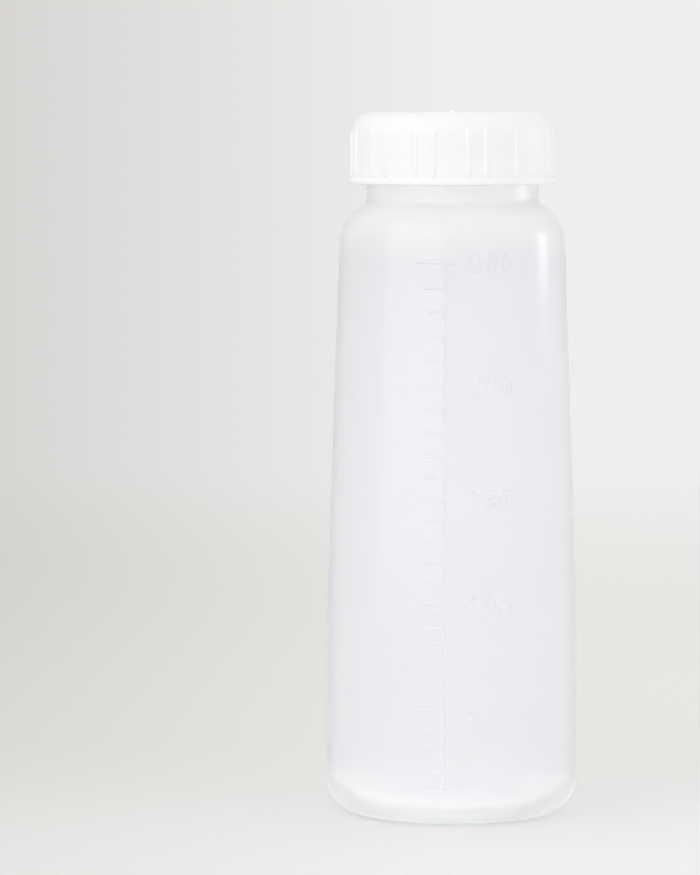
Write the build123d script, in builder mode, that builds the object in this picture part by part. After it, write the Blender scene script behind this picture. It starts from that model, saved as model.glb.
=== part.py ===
from build123d import *
from math import copysign, cos, pi, radians, sin, sqrt, tan
import os

os.makedirs("parts", exist_ok=True)

# A 250 mL wide-mouth bottle with a screw cap, in millimetres.
# It stands on z = 0 with its axis on Z, and its volume scale faces -Y.

# Bottle, outside
body_radius = 27.85
band_top = 42.9
heel_radius = 7.5
taper_top = 131.9
taper_top_radius = 24.8
shoulder_fall = 35.0
shoulder_bend = 10.0
neck_radius = 19.1
neck_bend = 2.0
mouth_height = 152.6
lip_round = 0.4
ring_radius = 19.0
push_up = 4.0

# Bottle, wall thickness
band_wall = 1.0
shoulder_wall = 1.2
neck_wall = 1.7
floor_wall = 2.5

# Right-hand thread of the neck and the cap
pitch = 4.2
thread_turns = 1.25
thread_depth = 1.2
thread_root_width = 1.8
thread_crest_width = 0.9
thread_sink = 0.3
thread_clearance = 0.4
neck_thread_start = 144.6
cap_thread_start = 142.2

# Cap
cap_height = 15.9
cap_radius = 22.4
cap_corner = 4.6
cap_roof = 1.7
rim_radius = 23.0
rim_height = 1.4
rim_round = 0.3
nub_radius = 0.5
nub_height = 0.3

# Grip ribs of the cap, set in pairs
rib_pairs = 12
rib_radius = 0.75
rib_stand = 0.45
rib_half_gap = 5.25
rib_pair_angle = 14.25
rib_top = 151.0
front_angle = -90

# Liner and the bead that keeps it in the cap
liner_thickness = 1.3
liner_radius = 20.4
bead_radius = 0.5
bead_gap = 0.25

# Volume scale, raised on the bottle's front
scale_step = 10
scale_full = 250
number_step = 50
relief = 0.25
relief_root = 0.4
spine_x = -1.7
spine_width = 1.0
tick_width = 0.7
long_tick_x = -7.8
short_tick_x = -6.1
full_tick_x = 0.5
digit_height = 4.3
digit_width = 2.6
digit_stroke = 0.6
first_digit_x = 5.0
digit_pitch = 3.5
marks_front = 30.0
marks_depth = 14.0
slice_height = 0.02

# Sizes that follow
shoulder_slope = tan(radians(shoulder_fall))
neck_base = taper_top + (taper_top_radius - neck_radius) * shoulder_slope
band_bore = body_radius - band_wall
taper_bore = taper_top_radius - shoulder_wall
neck_bore = neck_radius - neck_wall
heel_bore = heel_radius - band_wall
shoulder_shift = shoulder_wall * (1 / cos(radians(shoulder_fall)) - shoulder_slope)
bore_taper_top = taper_top - shoulder_shift
bore_neck_base = bore_taper_top + (taper_bore - neck_bore) * shoulder_slope
dome_radius = (ring_radius**2 + push_up**2) / (2 * push_up)
dome_volume = pi * push_up * (3 * ring_radius**2 + push_up**2) / 6
cap_bore = neck_radius + thread_depth + thread_clearance
liner_top = mouth_height + liner_thickness
cap_top = liner_top + cap_roof
cap_bottom = cap_top - cap_height
rim_top = cap_bottom + rim_height
flank_slope = (thread_root_width - thread_crest_width) / (2 * thread_depth)
thread_seat = thread_root_width - flank_slope * (thread_depth + thread_clearance) + thread_clearance
cap_thread_angle = 360 * (cap_thread_start - neck_thread_start + thread_seat) / pitch
stroke_reach = (digit_width - digit_stroke) / 2
digit_top = (digit_height - digit_stroke) / 2


def profile(corners, bends):
    """A closed outline on the XZ plane, with some of its corners rounded."""
    with BuildSketch(Plane.XZ) as outline:
        with BuildLine():
            Polyline(*corners, close=True)
        make_face()
        for corner, radius in bends:
            fillet(outline.vertices().sort_by_distance(corner)[0], radius)
    return outline.sketch


def bore_radius(height):
    """Radius of the bottle's hollow at a height."""
    if height < floor_wall + heel_bore:
        drop = floor_wall + heel_bore - height
        return band_bore - heel_bore + sqrt(heel_bore**2 - drop**2)
    if height < band_top:
        return band_bore
    share = (height - band_top) / (bore_taper_top - band_top)
    return band_bore + share * (taper_bore - band_bore)


def mark_heights():
    """Height of each mark in mL, found by filling the hollow slice by slice."""
    heights = {}
    height = floor_wall
    volume = -dome_volume
    for mark in range(scale_step, scale_full + scale_step, scale_step):
        while volume < 1000 * mark:
            volume += pi * bore_radius(height) ** 2 * slice_height
            height += slice_height
        heights[mark] = height
    return heights


def thread(start_height, start_angle, root_radius, reach):
    """A ridge along a helix, standing out from root_radius by reach (inwards if negative)."""
    turn = radians(start_angle)
    start = Plane(origin=(0, 0, start_height), x_dir=(cos(turn), sin(turn), 0), z_dir=(0, 0, 1))
    foot = copysign(thread_sink, -reach)
    half_root = thread_root_width / 2
    half_crest = thread_crest_width / 2
    with BuildPart() as ridge:
        with BuildLine(start) as path:
            Helix(pitch, thread_turns * pitch, root_radius)
        with BuildSketch(Plane(origin=path.line @ 0, x_dir=start.x_dir, z_dir=path.line % 0)):
            with BuildLine():
                Polyline(
                    (foot, -half_root),
                    (0, -half_root),
                    (reach, -half_crest),
                    (reach, half_crest),
                    (0, half_root),
                    (foot, half_root),
                    close=True,
                )
            make_face()
        sweep(path=path.line, is_frenet=True)
    return ridge.part


# Numerals, each centred on its own origin
with BuildSketch() as zero:
    Ellipse(digit_width / 2, digit_height / 2)
    Ellipse(digit_width / 2 - digit_stroke, digit_height / 2 - digit_stroke, mode=Mode.SUBTRACT)

with BuildSketch() as one:
    with BuildLine():
        Polyline((-stroke_reach / 2, digit_top - stroke_reach), (0, digit_top), (0, -digit_top))
    trace(line_width=digit_stroke)

with BuildSketch() as two:
    with BuildLine():
        two_bow = CenterArc((0, digit_top - stroke_reach), stroke_reach, 170, -205)
        Polyline(two_bow @ 1, (-stroke_reach, -digit_top), (stroke_reach, -digit_top))
    trace(line_width=digit_stroke)

with BuildSketch() as five:
    with BuildLine():
        five_bowl = CenterArc((0, stroke_reach - digit_top), stroke_reach, 140, -290)
        five_back = (five_bowl @ 0).X
        Polyline(five_bowl @ 0, (five_back, digit_top), (stroke_reach, digit_top))
    trace(line_width=digit_stroke)

numerals = {"0": zero.sketch, "1": one.sketch, "2": two.sketch, "5": five.sketch}

# The scale's upright line, ticks and numbers, raised from the bottle's wall
marks = mark_heights()
with BuildPart() as scale_relief:
    with BuildSketch(Plane.XZ.offset(marks_front)):
        with Locations((spine_x, (marks[scale_step] + marks[scale_full]) / 2)):
            Rectangle(spine_width, marks[scale_full] - marks[scale_step])
        for mark, height in marks.items():
            tick_end = full_tick_x if mark == scale_full else spine_x
            tick_start = short_tick_x if mark % number_step else long_tick_x
            with Locations(((tick_start + tick_end) / 2, height)):
                Rectangle(tick_end - tick_start, tick_width)
            if mark % number_step:
                continue
            for place, digit in enumerate(str(mark)):
                with Locations((first_digit_x + place * digit_pitch, height)):
                    add(numerals[digit])
    extrude(amount=-marks_depth)
    relief_band = profile(
        [
            (body_radius - relief_root, heel_radius),
            (body_radius + relief, heel_radius),
            (body_radius + relief, band_top),
            (taper_top_radius + relief, taper_top),
            (taper_top_radius - relief_root, taper_top),
            (body_radius - relief_root, band_top),
        ],
        [],
    )
    revolve(relief_band, axis=Axis.Z, mode=Mode.INTERSECT)

# The bottle's hollow: its floor rises over the push-up in the base
with BuildPart() as hollow:
    hollow_outline = profile(
        [
            (0, floor_wall),
            (band_bore, floor_wall),
            (band_bore, band_top),
            (taper_bore, bore_taper_top),
            (neck_bore, bore_neck_base),
            (neck_bore, mouth_height),
            (0, mouth_height),
        ],
        [
            ((band_bore, floor_wall), heel_bore),
            ((taper_bore, bore_taper_top), shoulder_bend - shoulder_wall),
            ((neck_bore, bore_neck_base), neck_bend + shoulder_wall),
        ],
    )
    revolve(hollow_outline, axis=Axis.Z)
    with Locations((0, 0, push_up - dome_radius)):
        Sphere(dome_radius + floor_wall, mode=Mode.SUBTRACT)

with BuildPart() as bottle:
    bottle_outline = profile(
        [
            (0, 0),
            (body_radius, 0),
            (body_radius, band_top),
            (taper_top_radius, taper_top),
            (neck_radius, neck_base),
            (neck_radius, mouth_height),
            (0, mouth_height),
        ],
        [
            ((body_radius, 0), heel_radius),
            ((taper_top_radius, taper_top), shoulder_bend),
            ((neck_radius, neck_base), neck_bend),
        ],
    )
    revolve(bottle_outline, axis=Axis.Z)
    with Locations((0, 0, push_up - dome_radius)):
        Sphere(dome_radius, mode=Mode.SUBTRACT)
    add(hollow.part, mode=Mode.SUBTRACT)
    fillet(bottle.edges().group_by(Axis.Z)[-1], lip_round)
    add(thread(neck_thread_start, 0, neck_radius, thread_depth))
    add(scale_relief.part)
bottle.part.label = "bottle"

with BuildPart() as sealing_liner:
    with Locations((0, 0, mouth_height)):
        Cylinder(liner_radius, liner_thickness, align=(Align.CENTER, Align.CENTER, Align.MIN))
sealing_liner.part.label = "sealing_liner"

with BuildPart() as screw_cap:
    cap_outline = profile(
        [
            (0, cap_bottom),
            (rim_radius, cap_bottom),
            (rim_radius, rim_top),
            (cap_radius, rim_top),
            (cap_radius, cap_top),
            (0, cap_top),
        ],
        [
            ((rim_radius, cap_bottom), rim_round),
            ((rim_radius, rim_top), rim_round),
            ((cap_radius, cap_top), cap_corner),
        ],
    )
    revolve(cap_outline, axis=Axis.Z)
    for side in (-1, 1):
        rib_angle = front_angle + rib_pair_angle + side * rib_half_gap
        with Locations((0, 0, (cap_bottom + rim_top) / 2)):
            with PolarLocations(cap_radius + rib_stand - rib_radius, rib_pairs, rib_angle):
                Cylinder(
                    rib_radius,
                    rib_top - (cap_bottom + rim_top) / 2,
                    align=(Align.CENTER, Align.CENTER, Align.MIN),
                )
        with Locations((0, 0, rib_top)):
            with PolarLocations(cap_radius + rib_stand - rib_radius, rib_pairs, rib_angle):
                Sphere(rib_radius)
    with Locations((0, 0, cap_top)):
        Cylinder(nub_radius, nub_height, align=(Align.CENTER, Align.CENTER, Align.MIN))
    with Locations((0, 0, liner_top)):
        Cylinder(
            cap_bore,
            cap_height,
            align=(Align.CENTER, Align.CENTER, Align.MAX),
            mode=Mode.SUBTRACT,
        )
    with Locations((0, 0, mouth_height - bead_gap - bead_radius)):
        Torus(cap_bore, bead_radius)
    add(thread(cap_thread_start, cap_thread_angle, cap_bore, -thread_depth))
screw_cap.part.label = "screw_cap"

export_step(bottle.part, "parts/bottle.step")
export_step(sealing_liner.part, "parts/sealing_liner.step")
export_step(screw_cap.part, "parts/screw_cap.step")
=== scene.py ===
import math

import bpy
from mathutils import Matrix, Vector


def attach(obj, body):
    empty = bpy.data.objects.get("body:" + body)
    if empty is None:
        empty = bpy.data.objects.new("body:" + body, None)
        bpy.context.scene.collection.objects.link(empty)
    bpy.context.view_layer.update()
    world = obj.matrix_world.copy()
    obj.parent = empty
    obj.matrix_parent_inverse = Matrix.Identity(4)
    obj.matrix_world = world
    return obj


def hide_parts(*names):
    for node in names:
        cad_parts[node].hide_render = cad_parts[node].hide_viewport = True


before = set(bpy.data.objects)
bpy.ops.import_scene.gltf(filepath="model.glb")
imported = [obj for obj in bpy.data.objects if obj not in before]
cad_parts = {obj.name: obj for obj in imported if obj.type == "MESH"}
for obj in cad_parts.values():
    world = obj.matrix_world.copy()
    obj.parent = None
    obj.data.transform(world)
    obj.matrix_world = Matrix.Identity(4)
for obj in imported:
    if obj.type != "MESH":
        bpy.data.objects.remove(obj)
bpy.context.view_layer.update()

mm = 0.001
mergeWithin = 0.002 * mm
sharpFrom = math.radians(30)  # edges that turn more than this stay crisp
print("frame loaded")


def deselectAll():
    if bpy.context.object and bpy.context.object.mode == "EDIT":
        bpy.ops.object.mode_set(mode="OBJECT")
    bpy.ops.object.select_all(action="DESELECT")


def pick(piece):
    deselectAll()
    piece.select_set(True)
    bpy.context.view_layer.objects.active = piece


def applyModifier(piece, kind, **settings):
    pick(piece)
    bpy.ops.object.modifier_add(type=kind)
    modifier = piece.modifiers[-1]
    for name, value in settings.items():
        setattr(modifier, name, value)
    bpy.ops.object.modifier_apply(modifier=modifier.name)


def uniteWith(piece, other):
    applyModifier(piece, "BOOLEAN", operation="UNION", solver="EXACT", object=other)
    bpy.data.objects.remove(other, do_unlink=True)


def joinInto(piece, others):
    pick(piece)
    for other in others:
        other.select_set(True)
    bpy.ops.object.join()


def startSelecting(piece, kind):
    # nothing selected, and the select mode set, so that the flags set next are kept
    pick(piece)
    bpy.ops.object.mode_set(mode="EDIT")
    bpy.ops.mesh.select_mode(type=kind)
    bpy.ops.mesh.select_all(action="DESELECT")
    bpy.ops.object.mode_set(mode="OBJECT")


def selectFaces(piece, test):
    # leaves edit mode open, with the faces chosen by their centre
    startSelecting(piece, "FACE")
    for polygon in piece.data.polygons:
        polygon.select = test(polygon.center, polygon.normal)
    bpy.ops.object.mode_set(mode="EDIT")


def selectPoints(piece, test):
    # leaves edit mode open, with the points chosen by their place
    startSelecting(piece, "VERT")
    for vertex in piece.data.vertices:
        vertex.select = test(vertex)
    bpy.ops.object.mode_set(mode="EDIT")


def drawOutline(name, points, closed=False):
    # one vertex, extruded from point to point on the XZ plane; points are in millimetres
    deselectAll()
    bpy.ops.mesh.primitive_plane_add(size=mm, location=(points[0][0] * mm, 0, points[0][1] * mm))
    piece = bpy.context.object
    piece.name = name
    bpy.ops.object.transform_apply(location=True, rotation=False, scale=False)
    bpy.ops.object.mode_set(mode="EDIT")
    bpy.ops.mesh.select_all(action="SELECT")
    bpy.ops.mesh.merge(type="CENTER")
    for (x, z), (nextX, nextZ) in zip(points, points[1:]):
        step = ((nextX - x) * mm, 0, (nextZ - z) * mm)
        bpy.ops.mesh.extrude_region_move(TRANSFORM_OT_translate={"value": step})
    if closed:
        bpy.ops.mesh.select_all(action="SELECT")
        bpy.ops.mesh.edge_face_add()
        bpy.ops.mesh.delete(type="ONLY_FACE")
    bpy.ops.object.mode_set(mode="OBJECT")
    return piece


def spinOutline(name, points, steps):
    # turns an outline that starts and ends on the axis into a closed body
    piece = drawOutline(name, points)
    bpy.ops.object.mode_set(mode="EDIT")
    bpy.ops.mesh.select_all(action="SELECT")
    bpy.ops.mesh.spin(steps=steps, angle=math.tau, center=(0, 0, 0), axis=(0, 0, 1))
    bpy.ops.mesh.select_all(action="SELECT")
    bpy.ops.mesh.remove_doubles(threshold=mergeWithin)
    bpy.ops.mesh.normals_make_consistent(inside=False)
    bpy.ops.object.mode_set(mode="OBJECT")
    return piece


def roundedOutline(corners, arcStep):
    # corners are (x, z, radius); each radius becomes an arc with a point every arcStep degrees
    points = []
    last = len(corners) - 1
    for index, (x, z, radius) in enumerate(corners):
        here = Vector((x, z))
        if radius == 0 or index in (0, last):
            points.append((x, z))
            continue
        inward = (Vector(corners[index - 1][:2]) - here).normalized()
        onward = (Vector(corners[index + 1][:2]) - here).normalized()
        half = inward.angle(onward) / 2
        middle = here + (inward + onward).normalized() * radius / math.sin(half)
        start = here + inward * radius / math.tan(half) - middle
        end = here + onward * radius / math.tan(half) - middle
        sweep = start.angle_signed(end)
        count = max(2, math.ceil(abs(math.degrees(sweep)) / arcStep))
        for part in range(count + 1):
            turn = -sweep * part / count
            points.append((
                middle.x + start.x * math.cos(turn) - start.y * math.sin(turn),
                middle.y + start.x * math.sin(turn) + start.y * math.cos(turn),
            ))
    return points


def dividedOutline(points, longest):
    # adds points on runs longer than longest, so that faces stay compact
    result = [points[0]]
    for (x, z), (nextX, nextZ) in zip(points, points[1:]):
        count = max(1, math.ceil(math.dist((x, z), (nextX, nextZ)) / longest))
        for part in range(1, count + 1):
            result.append((x + (nextX - x) * part / count, z + (nextZ - z) * part / count))
    return result


bottle = {  # millimetres
    "bodyRadius": 27.85, "bandTop": 42.9, "heelRadius": 7.5,
    "taperTop": 131.9, "taperTopRadius": 24.8, "bandBend": 60.0, "shoulderBend": 10.0,
    "neckRadius": 19.1, "neckBend": 2.0, "mouthHeight": 152.6, "lipRound": 0.4,
    "ringRadius": 19.0, "pushUp": 4.0, "shoulderFall": 35.0,  # degrees below level
    "bandWall": 1.0, "shoulderWall": 1.2, "neckWall": 1.7, "floorWall": 2.5,
    "steps": 240, "longestFace": 4.0, "domeSteps": 8, "arcStep": 8,
}
bottle["shoulderSlope"] = math.tan(math.radians(bottle["shoulderFall"]))
bottle["bandBore"] = bottle["bodyRadius"] - bottle["bandWall"]
bottle["taperBore"] = bottle["taperTopRadius"] - bottle["shoulderWall"]
shoulderShift = 1 / math.cos(math.radians(bottle["shoulderFall"])) - bottle["shoulderSlope"]
bottle["boreTaperTop"] = bottle["taperTop"] - bottle["shoulderWall"] * shoulderShift
bottle["neckBore"] = bottle["neckRadius"] - bottle["neckWall"]
bottle["heelBore"] = bottle["heelRadius"] - bottle["bandWall"]
bottle["domeRadius"] = (bottle["ringRadius"] ** 2 + bottle["pushUp"] ** 2) / (2 * bottle["pushUp"])

volumeScale = {  # millimetres, and millilitres for the marks
    "step": 10, "full": 250, "numberStep": 50, "slice": 0.02,
    "proud": 0.25, "spineX": -1.7, "spineRadius": 0.5, "strokeRadius": 0.34, "crossingRadius": 0.31,
    "longTickX": -7.8, "shortTickX": -6.1, "fullTickX": 0.5,
    "digitHeight": 4.3, "digitWidth": 2.6, "firstDigitX": 5.0, "digitPitch": 3.5,
    "arcStep": 15, "tickStep": 1.0, "spineStep": 4.0,
    "tip": [(0.95, 0.35), (0.7, 0.75)],  # distance past a stroke's end and radius there, in stroke radii
}

thread = {  # millimetres and degrees, right-handed; offColumn keeps it off the bottle's columns of faces
    "pitch": 4.2, "turns": 1.25, "depth": 1.2, "rootWidth": 1.8, "crestWidth": 0.9,
    "sink": 0.3, "clearance": 0.4, "neckStart": 144.6, "capStart": 142.2,
    "steps": 150, "runOutRings": 12, "runOutDepth": 1.15, "offColumn": 0.7,
}


def domePoints(lift, outwards):
    # the rise in the base, from the axis to the standing ring
    radius = bottle["domeRadius"] + lift
    centre = bottle["pushUp"] - bottle["domeRadius"]
    points = []
    for part in range(bottle["domeSteps"] + 1):
        x = bottle["ringRadius"] * part / bottle["domeSteps"]
        points.append((x, centre + math.sqrt(radius ** 2 - x ** 2)))
    return points if outwards else points[::-1]


def bottleOutline():
    b = bottle
    neckBase = b["taperTop"] + (b["taperTopRadius"] - b["neckRadius"]) * b["shoulderSlope"]
    boreNeckBase = b["boreTaperTop"] + (b["taperBore"] - b["neckBore"]) * b["shoulderSlope"]
    wall = roundedOutline([
        (b["ringRadius"], 0, 0),
        (b["bodyRadius"], 0, b["heelRadius"]),
        (b["bodyRadius"], b["bandTop"], b["bandBend"]),
        (b["taperTopRadius"], b["taperTop"], b["shoulderBend"]),
        (b["neckRadius"], neckBase, b["neckBend"]),
        (b["neckRadius"], b["mouthHeight"], b["lipRound"]),
        (b["neckBore"], b["mouthHeight"], b["lipRound"]),
        (b["neckBore"], boreNeckBase, b["neckBend"] + b["shoulderWall"]),
        (b["taperBore"], b["boreTaperTop"], b["shoulderBend"] - b["shoulderWall"]),
        (b["bandBore"], b["bandTop"], b["bandBend"] + b["bandWall"]),
        (b["bandBore"], b["floorWall"], b["heelBore"]),
        (b["ringRadius"], b["floorWall"], 0),
    ], b["arcStep"])
    run = domePoints(0, True)[:-1] + wall[:-1] + domePoints(b["floorWall"], False)
    return dividedOutline(run, b["longestFace"])


def wallRadius(height):
    if height <= bottle["bandTop"]:
        return bottle["bodyRadius"]
    share = (height - bottle["bandTop"]) / (bottle["taperTop"] - bottle["bandTop"])
    return bottle["bodyRadius"] + share * (bottle["taperTopRadius"] - bottle["bodyRadius"])


def boreRadius(height):
    if height < bottle["floorWall"] + bottle["heelBore"]:
        drop = bottle["floorWall"] + bottle["heelBore"] - height
        return bottle["bandBore"] - bottle["heelBore"] + math.sqrt(bottle["heelBore"] ** 2 - drop ** 2)
    if height < bottle["bandTop"]:
        return bottle["bandBore"]
    share = (height - bottle["bandTop"]) / (bottle["boreTaperTop"] - bottle["bandTop"])
    return bottle["bandBore"] + share * (bottle["taperBore"] - bottle["bandBore"])


def markHeights():
    # fills the hollow slice by slice, and notes the height of each mark
    pushUp = bottle["pushUp"]
    volume = -math.pi * pushUp * (3 * bottle["ringRadius"] ** 2 + pushUp ** 2) / 6
    height = bottle["floorWall"]
    heights = {}
    for mark in range(volumeScale["step"], volumeScale["full"] + 1, volumeScale["step"]):
        while volume < 1000 * mark:
            volume += math.pi * boreRadius(height) ** 2 * volumeScale["slice"]
            height += volumeScale["slice"]
        heights[mark] = height
    return heights


def arcPoints(x, z, radius, start, sweep):
    count = math.ceil(abs(sweep) / volumeScale["arcStep"])
    turns = [math.radians(start + sweep * part / count) for part in range(count + 1)]
    return [(x + radius * math.cos(turn), z + radius * math.sin(turn)) for turn in turns]


def numeralStrokes(digit):
    # the cutter's paths for one numeral: the main one, whether it closes, and the one that crosses it
    reach = volumeScale["digitWidth"] / 2 - volumeScale["strokeRadius"]
    top = volumeScale["digitHeight"] / 2 - volumeScale["strokeRadius"]
    if digit == "0":
        side = top - reach
        return arcPoints(0, side, reach, 0, 180) + arcPoints(0, -side, reach, 180, 180), True, []
    if digit == "1":
        return [(0, top), (0, -top)], False, [(-reach, top - reach), (0, top)]
    if digit == "2":
        bow = arcPoints(0, top - reach, reach, 170, -205)
        return bow + [(-reach, -top)], False, [(-reach, -top), (reach, -top)]
    bowl = arcPoints(0, reach - top, reach, 140, -290)
    return bowl, False, [(reach, top), (bowl[0][0], top), bowl[0]]


def onWall(x, height, sink):
    radius = wallRadius(height) - sink
    return x * mm, -math.sqrt(radius ** 2 - x ** 2) * mm, height * mm


def roundedRun(points, radius):
    # (x, z, share of the radius) along a stroke, carried on past both ends in a round tip
    run = [(x, z, 1.0) for x, z in points]
    for end, inner in ((0, 1), (-1, -2)):
        start = Vector(points[end])
        outward = (start - Vector(points[inner])).normalized() * radius
        tip = [(*(start + outward * step), share) for step, share in volumeScale["tip"]]
        run = tip + run if end == 0 else run + tip[::-1]
    return run


def strokeTubes(name, strokes, radius):
    # raised strokes with a round top, as a round-nosed cutter leaves them in the mould
    data = bpy.data.curves.new(name, "CURVE")
    data.dimensions = "3D"
    data.bevel_depth = radius * mm
    data.bevel_resolution = 3
    data.use_fill_caps = True
    sink = radius - volumeScale["proud"]
    for points, closed in strokes:
        run = [(x, z, 1.0) for x, z in points[:-1]] if closed else roundedRun(points, radius)
        spline = data.splines.new("POLY")
        spline.points.add(len(run) - 1)
        spline.use_cyclic_u = closed
        for point, (x, z, share) in zip(spline.points, run):
            point.co = (*onWall(x, z, sink), 1)
            point.radius = share
    piece = bpy.data.objects.new(name, data)
    bpy.context.collection.objects.link(piece)
    pick(piece)
    bpy.ops.object.convert(target="MESH")
    piece = bpy.context.object
    bpy.ops.object.mode_set(mode="EDIT")
    bpy.ops.mesh.select_all(action="SELECT")
    bpy.ops.mesh.remove_doubles(threshold=mergeWithin)
    bpy.ops.mesh.normals_make_consistent(inside=False)
    bpy.ops.object.mode_set(mode="OBJECT")
    return piece


def evenRun(start, end, longest):
    count = max(1, math.ceil(math.dist(start, end) / longest))
    across, up = end[0] - start[0], end[1] - start[1]
    return [(start[0] + across * part / count, start[1] + up * part / count) for part in range(count + 1)]


def addVolumeScale(piece):
    # the ticks and numerals go on in one pass, so none of them may cross another
    s = volumeScale
    heights = markHeights()
    spine = evenRun((s["spineX"], heights[s["step"]]), (s["spineX"], heights[s["full"]]), s["spineStep"])
    uniteWith(piece, strokeTubes("scaleSpine", [(spine, False)], s["spineRadius"]))
    ticks = []
    numerals = []
    for mark, height in heights.items():
        start = (s["shortTickX"] if mark % s["numberStep"] else s["longTickX"]) + s["strokeRadius"]
        end = s["fullTickX"] if mark == s["full"] else s["spineX"]
        ticks.append((evenRun((start, height), (end, height), s["tickStep"]), False))
        if mark % s["numberStep"]:
            continue
        for place, digit in enumerate(str(mark)):
            across = s["firstDigitX"] + place * s["digitPitch"]
            points, closed, crossing = numeralStrokes(digit)
            path = [(across + x, height + z) for x, z in points]
            numeral = strokeTubes("numeral", [(path, closed)], s["strokeRadius"])
            if crossing:
                path = [(across + x, height + z) for x, z in crossing]
                uniteWith(numeral, strokeTubes("crossing", [(path, False)], s["crossingRadius"]))
            numerals.append(numeral)
    relief = strokeTubes("scaleMarks", ticks, s["strokeRadius"])
    joinInto(relief, numerals)
    uniteWith(piece, relief)
    print("volume scale raised, marks:", len(heights))


def cutThread(name, start, rootRadius, reach):
    # a trapezium carried round the axis, with both ends running out into the wall
    foot = math.copysign(thread["sink"], -reach)
    halfRoot = thread["rootWidth"] / 2
    halfCrest = thread["crestWidth"] / 2
    section = [
        (rootRadius + foot, start - halfRoot), (rootRadius, start - halfRoot),
        (rootRadius + reach, start - halfCrest), (rootRadius + reach, start + halfCrest),
        (rootRadius, start + halfRoot), (rootRadius + foot, start + halfRoot),
    ]
    piece = drawOutline(name, section, closed=True)
    rings = thread["steps"]
    applyModifier(
        piece, "SCREW", axis="Z", angle=math.radians(360 * thread["turns"]),
        screw_offset=thread["pitch"] * thread["turns"] * mm,
        steps=rings, render_steps=rings, use_merge_vertices=False,
    )
    size = len(section)
    lastRing = len(piece.data.vertices) // size - 1
    for ring in (0, lastRing):
        selectPoints(piece, lambda vertex: vertex.index // size == ring)
        bpy.ops.mesh.edge_face_add()
    crest = rootRadius + reach
    for step in range(thread["runOutRings"]):
        drop = math.copysign(thread["runOutDepth"] * (1 - step / thread["runOutRings"]), reach)
        shrink = (crest - drop) / crest
        selectPoints(piece, lambda vertex: vertex.index // size in (step, lastRing - step))
        bpy.ops.transform.resize(value=(shrink, shrink, 1), center_override=(0, 0, 0))
    bpy.ops.mesh.select_all(action="SELECT")
    bpy.ops.mesh.normals_make_consistent(inside=False)
    bpy.ops.object.mode_set(mode="OBJECT")
    return piece


def turnAbout(piece, degreesRound):
    # turns the mesh about Z; the operator turns the other way with no window open
    pick(piece)
    bpy.ops.object.mode_set(mode="EDIT")
    bpy.ops.mesh.select_all(action="SELECT")
    turn = -math.radians(degreesRound)
    bpy.ops.transform.rotate(value=turn, orient_axis="Z", center_override=(0, 0, 0))
    bpy.ops.object.mode_set(mode="OBJECT")


def makeBottle():
    piece = spinOutline("bottleBlown", bottleOutline(), bottle["steps"])
    ridge = cutThread("neckThread", thread["neckStart"], bottle["neckRadius"], thread["depth"])
    turnAbout(ridge, thread["offColumn"])
    uniteWith(piece, ridge)
    addVolumeScale(piece)
    pick(piece)
    bpy.ops.object.shade_smooth_by_angle(angle=sharpFrom)
    print("bottle made, faces:", len(piece.data.polygons))
    return piece


cap = {  # millimetres and degrees
    "radius": 22.4, "corner": 4.6, "roof": 1.7, "height": 15.9,
    "rimRadius": 23.0, "rimHeight": 1.4, "rimRound": 0.35,
    "nubRadius": 0.5, "nubHeight": 0.29, "nubRound": 0.12,
    "linerThickness": 1.3, "linerRadius": 20.4, "beadStand": 0.5, "beadGap": 0.25,
    "ribPairs": 12, "ribPairAngle": 14.25, "ribHalfGap": 5.25, "ribHalfWidth": 1.5,
    "ribFoot": 0.6, "ribTop": 151.6, "ribProud": 0.45, "ribInset": 0.22, "ribRamp": 0.3, "ribTopRow": 0.1,
    "steps": 240, "longestFace": 2.6, "arcStep": 12,
}
cap["bore"] = bottle["neckRadius"] + thread["depth"] + thread["clearance"]
cap["linerTop"] = bottle["mouthHeight"] + cap["linerThickness"]
cap["top"] = cap["linerTop"] + cap["roof"]
cap["bottom"] = cap["top"] - cap["height"]
cap["rimTop"] = cap["bottom"] + cap["rimHeight"]


def capOutline():
    c = cap
    bead = bottle["mouthHeight"] - c["beadGap"] - c["beadStand"]
    return dividedOutline(roundedOutline([
        (0, c["top"] + c["nubHeight"], 0),
        (c["nubRadius"], c["top"] + c["nubHeight"], c["nubRound"]),
        (c["nubRadius"], c["top"], c["nubRound"]),
        (c["radius"], c["top"], c["corner"]),
        (c["radius"], c["rimTop"], c["rimRound"]),
        (c["rimRadius"], c["rimTop"] - c["rimRound"], c["rimRound"]),
        (c["rimRadius"], c["bottom"], c["rimRound"]),
        (c["bore"], c["bottom"], c["rimRound"]),
        (c["bore"], bead - c["beadStand"], 0),
        (c["bore"] - c["beadStand"], bead, c["beadStand"] / 2),
        (c["bore"], bead + c["beadStand"], 0),
        (c["bore"], c["linerTop"], 0),
        (0, c["linerTop"], 0),
    ], c["arcStep"]), c["longestFace"])


def onRib(centre):
    # true on the skirt's columns where a grip rib stands
    onSkirt = abs(math.hypot(centre.x, centre.y) / mm - cap["radius"]) < cap["ribProud"] / 4
    inReach = cap["rimTop"] + cap["ribFoot"] < centre.z / mm < cap["ribTop"]
    fromFront = math.degrees(math.atan2(centre.x, -centre.y))
    pitch = 360 / cap["ribPairs"]
    fromPair = (fromFront - cap["ribPairAngle"] + pitch / 2) % pitch - pitch / 2
    return onSkirt and inReach and abs(abs(fromPair) - cap["ribHalfGap"]) < cap["ribHalfWidth"]


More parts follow.
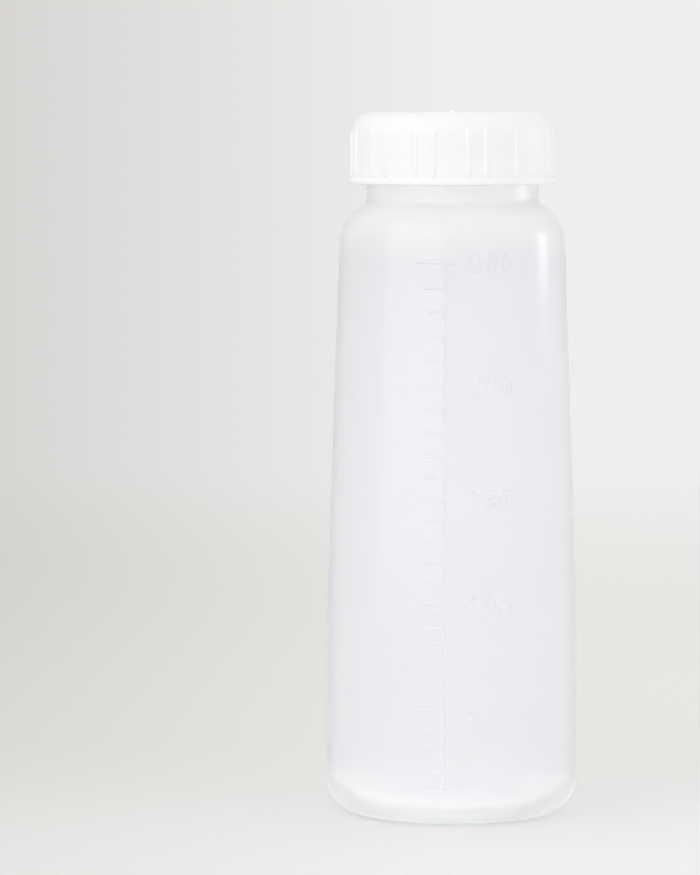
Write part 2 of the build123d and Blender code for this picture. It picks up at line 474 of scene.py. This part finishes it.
def makeCap():
    piece = spinOutline("screwCapMoulded", capOutline(), cap["steps"])
    selectFaces(piece, lambda centre, normal: onRib(centre))
    bpy.ops.mesh.inset(thickness=cap["ribInset"] * mm, depth=cap["ribProud"] * mm)
    bpy.ops.object.mode_set(mode="OBJECT")
    proudRadius = (cap["radius"] + cap["ribProud"] / 2) * mm

    def isProud(vertex):
        return math.hypot(vertex.co.x, vertex.co.y) > proudRadius

    # only the ribs' tops reach this far out above the rim: they slope back into the skirt
    topRow = max(v.co.z for v in piece.data.vertices if isProud(v)) - cap["ribTopRow"] * mm
    ribRadius = cap["radius"] + cap["ribProud"]
    shrink = (ribRadius - cap["ribRamp"]) / ribRadius
    selectPoints(piece, lambda vertex: vertex.co.z > topRow and isProud(vertex))
    bpy.ops.transform.resize(value=(shrink, shrink, 1), center_override=(0, 0, 0))
    bpy.ops.object.mode_set(mode="OBJECT")
    applyModifier(piece, "SUBSURF", levels=1, render_levels=1, use_limit_surface=False)
    inner = cutThread("capThread", thread["capStart"], cap["bore"], -thread["depth"])
    flankSlope = (thread["rootWidth"] - thread["crestWidth"]) / (2 * thread["depth"])
    seat = thread["rootWidth"] - flankSlope * (thread["depth"] + thread["clearance"]) + thread["clearance"]
    rise = thread["capStart"] - thread["neckStart"] + seat
    turnAbout(inner, 360 * rise / thread["pitch"] + thread["offColumn"])
    uniteWith(piece, inner)
    pick(piece)
    bpy.ops.object.shade_smooth_by_angle(angle=sharpFrom)
    print("cap made, faces:", len(piece.data.polygons))
    return piece


def toLinear(hexColour):
    channels = [int(hexColour[index:index + 2], 16) / 255 for index in (1, 3, 5)]
    return (*[c / 12.92 if c <= 0.04045 else ((c + 0.055) / 1.055) ** 2.4 for c in channels], 1)


def addNode(tree, kind, place, values=None, links=None, **settings):
    # values go on the node's inputs, links are (output socket, input); an input is its number or identifier
    node = tree.nodes.new(kind)
    node.location = place
    for name, value in settings.items():
        setattr(node, name, value)
    sockets = {socket.identifier: socket for socket in node.inputs}
    sockets.update(enumerate(node.inputs))
    for name, value in (values or {}).items():
        sockets[name].default_value = value
    for output, name in links or ():
        tree.links.new(output, sockets[name])
    return node


def newMaterial(name):
    material = bpy.data.materials.new(name)
    material.use_nodes = True
    material.node_tree.nodes.clear()
    return material, material.node_tree


def surfaceBump(tree, place, kind, size, height, output, **values):
    # a fine relief in the surface; size and height are in millimetres
    pattern = addNode(tree, kind, (-700, 0), {"Scale": 1 / (size * mm), **values},
                      [(place.outputs["Object"], "Vector")])
    return addNode(tree, "ShaderNodeBump", (-500, -200), {"Strength": 1.0, "Distance": height * mm},
                   [(pattern.outputs[output], "Height")])


def letLightThrough(tree, surface, shade):
    # the lamps' light passes the plastic, dimmed to the shade, so that its shadows stay pale
    path = addNode(tree, "ShaderNodeLightPath", (50, 450))
    passing = addNode(tree, "ShaderNodeBsdfTransparent", (50, -150), {"Color": toLinear(shade)})
    lit = addNode(tree, "ShaderNodeMixShader", (250, 100), links=[
        (path.outputs["Is Shadow Ray"], 0), (surface, 1), (passing.outputs["BSDF"], 2)])
    addNode(tree, "ShaderNodeOutputMaterial", (450, 0), links=[(lit.outputs["Shader"], "Surface")])


clearBottle = {  # blown polypropylene: cloudy and milkier on a slant; the haze is whiter at the heel and neck, partly for the thicker wall there and partly as painted light lifting the shade at the foot and under the cap
    "colour": "#FEFEFF", "roughness": 0.13, "ior": 1.49, "transmission": 0.9, "shade": "#FBFCFD",
    "skin": 0.4, "skinRoughness": 0.035, "haze": 0.23, "hazeBack": 0.5, "hazeSpread": 0.08,
    "hazeAndPaintedLightTones": [  # height in millimetres, and the haze's colour there; the white ends are partly painted light
        (0, "#FFFFFF"), (5.5, "#FFFFFF"), (8, "#F2F3F4"), (12, "#E7E8EA"),
        (20, "#E9EAEC"), (123, "#E9EAEC"), (135, "#FFFFFF"),
    ],
    "ripple": 9.0, "rippleHeight": 0.006,  # millimetres
}

whiteCap = {  # moulded polypropylene with white pigment: satin, light sinks in a little
    "colour": "#F7F8F9", "roughness": 0.36, "ior": 1.49, "scatter": 0.25, "shade": "#EEEEEE",
    "scatterDepth": 1.2, "grain": 0.35, "grainHeight": 0.006,  # millimetres; real grain is too fine to show
}

linerFoam = {  # cross-linked polyethylene foam: matt, with fine closed cells
    "colour": "#EDEBE4", "roughness": 0.85, "ior": 1.5,
    "cell": 0.45, "cellHeight": 0.03,  # millimetres; drawn coarser than real cells, so that they show
}


def blownPolypropylene():
    look = clearBottle
    material, tree = newMaterial("blown polypropylene")
    place = addNode(tree, "ShaderNodeTexCoord", (-900, 0))
    bump = surfaceBump(
        tree, place, "ShaderNodeTexNoise", look["ripple"], look["rippleHeight"], "Fac", Detail=1.0)
    shader = addNode(tree, "ShaderNodeBsdfPrincipled", (-250, 0), {
        "Base Color": toLinear(look["colour"]), "Roughness": look["roughness"], "IOR": look["ior"],
        "Transmission Weight": look["transmission"],
        "Coat Weight": look["skin"], "Coat Roughness": look["skinRoughness"],
    }, [(bump.outputs["Normal"], "Normal")])
    height = addNode(tree, "ShaderNodeSeparateXYZ", (-900, 300),
                     links=[(place.outputs["Object"], "Vector")])
    share = addNode(tree, "ShaderNodeMath", (-750, 300), {1: bottle["mouthHeight"] * mm},
                    [(height.outputs["Z"], 0)], operation="DIVIDE")
    # haze colour by height: white at the heel and neck, partly for the thicker wall and partly painted
    # light lifting the shade there
    tone = addNode(tree, "ShaderNodeValToRGB", (-600, 300), links=[(share.outputs["Value"], "Fac")])
    stops = tone.color_ramp.elements
    while len(stops) < len(look["hazeAndPaintedLightTones"]):
        stops.new(1.0)
    for stop, (level, colour) in zip(stops, look["hazeAndPaintedLightTones"]):
        stop.position = level / bottle["mouthHeight"]
        stop.color = toLinear(colour)
    through = addNode(tree, "ShaderNodeBsdfTranslucent", (-300, 300),
                      links=[(tone.outputs["Color"], "Color")])
    back = addNode(tree, "ShaderNodeBsdfDiffuse", (-300, 180), links=[(tone.outputs["Color"], "Color")])
    haze = addNode(tree, "ShaderNodeMixShader", (-100, 250), {0: look["hazeBack"]}, [
        (through.outputs["BSDF"], 1), (back.outputs["BSDF"], 2)])
    slant = addNode(tree, "ShaderNodeLayerWeight", (-300, 450), {"Blend": look["hazeSpread"]})
    milky = addNode(tree, "ShaderNodeMath", (-100, 400), {1: look["haze"]}, [
        (slant.outputs["Facing"], 0)], operation="ADD", use_clamp=True)
    wall = addNode(tree, "ShaderNodeMixShader", (50, 100), links=[
        (milky.outputs["Value"], 0), (shader.outputs["BSDF"], 1), (haze.outputs["Shader"], 2)])
    letLightThrough(tree, wall.outputs["Shader"], look["shade"])
    return material


def whitePolypropylene():
    look = whiteCap
    material, tree = newMaterial("white polypropylene")
    place = addNode(tree, "ShaderNodeTexCoord", (-900, 0))
    bump = surfaceBump(
        tree, place, "ShaderNodeTexNoise", look["grain"], look["grainHeight"], "Fac", Detail=3.0)
    shader = addNode(tree, "ShaderNodeBsdfPrincipled", (-250, 0), {
        "Base Color": toLinear(look["colour"]), "Roughness": look["roughness"], "IOR": look["ior"],
        "Subsurface Weight": look["scatter"], "Subsurface Scale": look["scatterDepth"] * mm,
        "Subsurface Radius": (1.0, 0.9, 0.8),
    }, [(bump.outputs["Normal"], "Normal")])
    letLightThrough(tree, shader.outputs["BSDF"], look["shade"])
    return material


def foamLiner():
    look = linerFoam
    material, tree = newMaterial("polyethylene foam")
    place = addNode(tree, "ShaderNodeTexCoord", (-900, 0))
    bump = surfaceBump(
        tree, place, "ShaderNodeTexVoronoi", look["cell"], look["cellHeight"], "Distance")
    shader = addNode(tree, "ShaderNodeBsdfPrincipled", (-250, 0), {
        "Base Color": toLinear(look["colour"]), "Roughness": look["roughness"], "IOR": look["ior"],
    }, [(bump.outputs["Normal"], "Normal")])
    addNode(tree, "ShaderNodeOutputMaterial", (50, 0), links=[(shader.outputs["BSDF"], "Surface")])
    return material


studio = {  # metres, and linear light
    # the floor's dark and far tones are painted shade: darker to the left and further off
    "floorPaintedShade": "#D8D7D4", "floorLight": "#F2F2F1", "darkAt": -0.2, "lightAt": 0.0,
    "floorPaintedFarShade": "#F7F6F4", "farStart": -0.08, "farEnd": 0.12,
    "floorRadius": 1.6, "fadeStart": 0.3, "fadeEnd": 1.0,
    # the backdrop's left tone is painted shade, darker than its right
    "backdropPaintedShadeLeft": "#D8D6D4", "backRight": "#EFEEED", "leftEdge": -0.098, "rightEdge": 0.0, "fill": 0.9,
}

lamps = {  # place, aim, width, height in metres, power in watts
    "keyLamp": ((-0.8, -0.95, 0.6), (0, 0, 0.09), 1.7, 1.7, 5.4),
    "sideLamp": ((0.75, 0.2, 0.239), (0, 0, 0.232), 0.22, 0.24, 0.33),
}

camera = {  # metres, degrees and millimetres
    "distance": 1.019, "height": 0.156, "lens": 189.1, "sensor": 36, "pitch": 4.076, "yaw": 1.274,
}


def makeFloor():
    # a pale sweep with painted shade, darker to the left and further off, and fading into the backdrop
    # behind the bottle
    deselectAll()
    bpy.ops.mesh.primitive_circle_add(vertices=128, radius=studio["floorRadius"], fill_type="NGON")
    floor = bpy.context.object
    floor.name = "floor"
    material, tree = newMaterial("matt paper sweep")
    place = addNode(tree, "ShaderNodeTexCoord", (-1000, 0))
    split = addNode(tree, "ShaderNodeSeparateXYZ", (-800, 0), links=[(place.outputs["Object"], "Vector")])
    # painted shade: the floor runs from the lit tone to a darker one towards the left
    lightness = addNode(tree, "ShaderNodeMapRange", (-600, 100),
                        {"From Min": studio["darkAt"], "From Max": studio["lightAt"]},
                        [(split.outputs["X"], "Value")])
    tone = addNode(tree, "ShaderNodeMix", (-400, 100), {
        "A_Color": toLinear(studio["floorPaintedShade"]), "B_Color": toLinear(studio["floorLight"]),
    }, [(lightness.outputs["Result"], "Factor_Float")], data_type="RGBA")
    # painted shade: the floor dims further off
    depth = addNode(tree, "ShaderNodeMapRange", (-600, 350),
                    {"From Min": studio["farStart"], "From Max": studio["farEnd"]},
                    [(split.outputs["Y"], "Value")], interpolation_type="SMOOTHSTEP")
    dimmed = addNode(tree, "ShaderNodeMix", (-200, 300), {"B_Color": toLinear(studio["floorPaintedFarShade"])}, [
        (depth.outputs["Result"], "Factor_Float"), (tone.outputs[2], "A_Color")],
        data_type="RGBA", blend_type="MULTIPLY")
    fade = addNode(tree, "ShaderNodeMapRange", (-600, -150),
                   {"From Min": studio["fadeStart"], "From Max": studio["fadeEnd"]},
                   [(split.outputs["Y"], "Value")], interpolation_type="SMOOTHSTEP")
    paper = addNode(tree, "ShaderNodeBsdfDiffuse", (-200, 100), links=[(dimmed.outputs[2], "Color")])
    nothing = addNode(tree, "ShaderNodeBsdfTransparent", (-200, -50))
    sweep = addNode(tree, "ShaderNodeMixShader", (0, 0), links=[
        (fade.outputs["Result"], 0), (paper.outputs["BSDF"], 1), (nothing.outputs["BSDF"], 2)])
    addNode(tree, "ShaderNodeOutputMaterial", (200, 0), links=[(sweep.outputs["Shader"], "Surface")])
    floor.data.materials.append(material)


def makeWorld():
    # even white light, and a pale backdrop wherever the camera looks past, into or through the bottle; the
    # backdrop carries painted shade, darker to the left
    world = bpy.data.worlds.new("studio")
    bpy.context.scene.world = world
    world.use_nodes = True
    tree = world.node_tree
    tree.nodes.clear()
    place = addNode(tree, "ShaderNodeTexCoord", (-900, 0))
    split = addNode(tree, "ShaderNodeSeparateXYZ", (-700, 0),
                    links=[(place.outputs["Generated"], "Vector")])
    # painted shade: the backdrop runs darker towards the left
    across = addNode(tree, "ShaderNodeMapRange", (-500, 0),
                     {"From Min": studio["leftEdge"], "From Max": studio["rightEdge"]},
                     [(split.outputs["X"], "Value")])
    tone = addNode(tree, "ShaderNodeMix", (-300, 0), {
        "A_Color": toLinear(studio["backdropPaintedShadeLeft"]), "B_Color": toLinear(studio["backRight"]),
    }, [(across.outputs["Result"], "Factor_Float")], data_type="RGBA")
    backdrop = addNode(tree, "ShaderNodeBackground", (-100, 100), {"Strength": 1.0},
                       [(tone.outputs[2], "Color")])
    fill = addNode(tree, "ShaderNodeBackground", (-100, -100),
                   {"Color": (1, 1, 1, 1), "Strength": studio["fill"]})
    path = addNode(tree, "ShaderNodeLightPath", (-700, 400))
    direct = addNode(tree, "ShaderNodeMath", (-500, 400), links=[
        (path.outputs["Is Camera Ray"], 0), (path.outputs["Is Glossy Ray"], 1)], operation="ADD")
    seen = addNode(tree, "ShaderNodeMath", (-300, 400), links=[
        (direct.outputs["Value"], 0), (path.outputs["Is Transmission Ray"], 1)],
        operation="ADD", use_clamp=True)
    choose = addNode(tree, "ShaderNodeMixShader", (100, 0), links=[
        (seen.outputs["Value"], 0), (fill.outputs["Background"], 1), (backdrop.outputs["Background"], 2)])
    addNode(tree, "ShaderNodeOutputWorld", (300, 0), links=[(choose.outputs["Shader"], "Surface")])


def makeLamps():
    for name, (place, aim, width, height, power) in lamps.items():
        data = bpy.data.lights.new(name, "AREA")
        data.shape = "RECTANGLE"
        data.size = width
        data.size_y = height
        data.energy = power
        lamp = bpy.data.objects.new(name, data)
        bpy.context.collection.objects.link(lamp)
        lamp.location = place
        lamp.rotation_euler = (Vector(aim) - Vector(place)).to_track_quat("-Z", "Y").to_euler()
        lamp.visible_camera = False


def makeCamera():
    data = bpy.data.cameras.new("camera")
    data.lens = camera["lens"]
    data.sensor_width = camera["sensor"]
    piece = bpy.data.objects.new("camera", data)
    bpy.context.collection.objects.link(piece)
    piece.location = (0, -camera["distance"], camera["height"])
    piece.rotation_euler = (math.radians(90 - camera["pitch"]), 0, math.radians(camera["yaw"]))
    bpy.context.scene.camera = piece


bpy.context.scene.view_settings.view_transform = "Standard"
makeCamera()
makeWorld()
makeLamps()
makeFloor()
print("studio ready")

bottlePiece = makeBottle()
bottlePiece.data.materials.append(blownPolypropylene())
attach(bottlePiece, "bottle")
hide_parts("bottle")

capPiece = makeCap()
capPiece.data.materials.append(whitePolypropylene())
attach(capPiece, "cap")
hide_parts("screw_cap")

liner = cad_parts["sealing_liner"]
liner.material_slots[0].material = foamLiner()
print("materials on")
